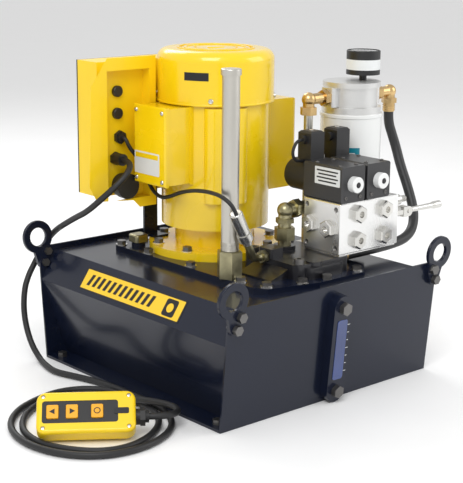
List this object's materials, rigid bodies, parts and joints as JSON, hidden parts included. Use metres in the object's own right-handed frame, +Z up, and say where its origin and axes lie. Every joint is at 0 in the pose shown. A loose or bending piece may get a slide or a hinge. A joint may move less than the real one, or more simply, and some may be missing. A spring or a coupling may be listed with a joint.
{
  "type": "hydraulic power unit",
  "caption": "Electric hydraulic power unit: upright yellow fan-cooled motor on a black steel reservoir with lifting lugs, solenoid valves, return filter and a wired hand pendant.",
  "frame": {"origin": "centre of the base on the floor", "axes": "+Z up, -Y out of the plate with the level gauge, +X to its right"},
  "size_m": [0.7449, 0.5114, 0.492],
  "materials": {
    "black_paint": "gloss black enamel with a blue cast",
    "zinc_bolts": "blackened and zinc plated steel",
    "yellow_paint": "gloss yellow enamel",
    "yellow_plastic": "moulded yellow plastic",
    "black_plastic": "moulded black plastic",
    "button_yellow": "yellow rubber-feel keys",
    "dark_iron": "dark phosphated iron",
    "steel": "bright zinc plated steel",
    "aluminium": "clear anodised aluminium",
    "white_plastic": "white gloss",
    "override_black": "black pin",
    "cast_metal": "cast aluminium",
    "brass": "dull brass",
    "zinc_olive": "olive zinc plate",
    "hose_rubber": "black rubber",
    "blue_fluid": "clear window with blue fluid behind",
    "filter_paper": "pleated paper",
    "strainer_mesh": "wire mesh",
    "board_green": "solder mask"
  },
  "bodies": {
    "root": {"base_tray": "black_paint", "brass_fittings": "brass", "capacitor_cover": "yellow_paint", "coil_nuts": "white_plastic", "control_board": "board_green", "cover_plate": "black_paint", "din_cable": "hose_rubber", "din_plugs": "black_plastic", "ebox_back_plate": "black_plastic", "ebox_bracket": "black_paint", "ebox_connectors": "black_plastic", "ebox_shell": "yellow_plastic", "end_plates": "black_paint", "fan_cover": "yellow_paint", "filter_can": "white_plastic", "filter_element": "filter_paper", "filter_head": "cast_metal", "hex_bolts": "zinc_bolts", "level_gauge_body": "black_paint", "level_gauge_window": "blue_fluid", "lifting_lugs": "black_paint", "manifold_block": "aluminium", "motor_bearings": "steel", "motor_flange": "yellow_paint", "motor_shell": "yellow_paint", "pendant_cord": "hose_rubber", "pendant_gland": "black_plastic", "pendant_keypad": "black_plastic", "pendant_lower": "yellow_plastic", "pendant_upper": "yellow_plastic", "port_plugs": "steel", "pressure_gauge": "black_plastic", "pump_body": "dark_iron", "pump_casting": "black_paint", "return_hose": "hose_rubber", "socket_screws": "zinc_bolts", "stator_core": "dark_iron", "steel_pipes": "steel", "suction_strainer": "strainer_mesh", "tank_trough": "black_paint", "terminal_box": "yellow_paint", "terminal_lid": "yellow_paint", "transducer_body": "steel", "transducer_cable": "hose_rubber", "valve_bodies": "dark_iron", "valve_coils": "black_plastic", "valve_stems": "steel", "zinc_fittings": "zinc_olive"},
    "rotor": {"rotor_shaft": "steel", "motor_fan": "black_plastic", "drive_gear": "steel"},
    "idler": {"idler_gear": "steel"},
    "advance_key": {"advance_button": "button_yellow"},
    "retract_key": {"retract_button": "button_yellow"},
    "stop_key": {"stop_button": "button_yellow"},
    "left_pin": {"override_pin_left": "override_black"},
    "right_pin": {"override_pin_right": "override_black"},
    "needle": {"gauge_needle": "white_plastic"},
    "lever": {"release_lever": "steel"},
    "breather": {"breather_cap": "brass"}
  },
  "joints": [
    {"name": "rotor_spin", "type": "hinge", "parent": "root", "child": "rotor", "pos_m": [0.0075, 0.057, 0.3], "axis": [0, 0, 1], "continuous": true},
    {"name": "idler_spin", "type": "hinge", "parent": "root", "child": "idler", "pos_m": [0.0075, 0.021, 0.12], "axis": [0, 0, 1], "continuous": true},
    {"name": "advance_press", "type": "slide", "parent": "root", "child": "advance_key", "axis": [0.3933, 0.5413, -0.7431], "range_m": [0, 0.0016], "stiffness_N_per_m": 400},
    {"name": "retract_press", "type": "slide", "parent": "root", "child": "retract_key", "axis": [0.3933, 0.5413, -0.7431], "range_m": [0, 0.0016], "stiffness_N_per_m": 400},
    {"name": "stop_press", "type": "slide", "parent": "root", "child": "stop_key", "axis": [0.3933, 0.5413, -0.7431], "range_m": [0, 0.0016], "stiffness_N_per_m": 400},
    {"name": "left_override", "type": "slide", "parent": "root", "child": "left_pin", "axis": [0, 1, 0], "range_m": [0, 0.0025], "stiffness_N_per_m": 400},
    {"name": "right_override", "type": "slide", "parent": "root", "child": "right_pin", "axis": [0, 1, 0], "range_m": [0, 0.0025], "stiffness_N_per_m": 400},
    {"name": "needle_swing", "type": "hinge", "parent": "root", "child": "needle", "pos_m": [0.229, -0.045, 0.476], "axis": [0, 0, -1], "range_deg": [0, 270], "stiffness_Nm_per_rad": 0.0005},
    {"name": "lever_swing", "type": "hinge", "parent": "root", "child": "lever", "pos_m": [0.216, -0.158, 0.244], "axis": [0, 1, 0], "range_deg": [-18, 18]},
    {"name": "breather_turn", "type": "hinge", "parent": "root", "child": "breather", "pos_m": [-0.081, 0.14, 0.19], "axis": [0, 0, 1], "range_deg": [0, 90]}
  ],
  "couplings": [
    {"joint": "idler_spin", "follows": "rotor_spin", "ratio": -1}
  ]
}
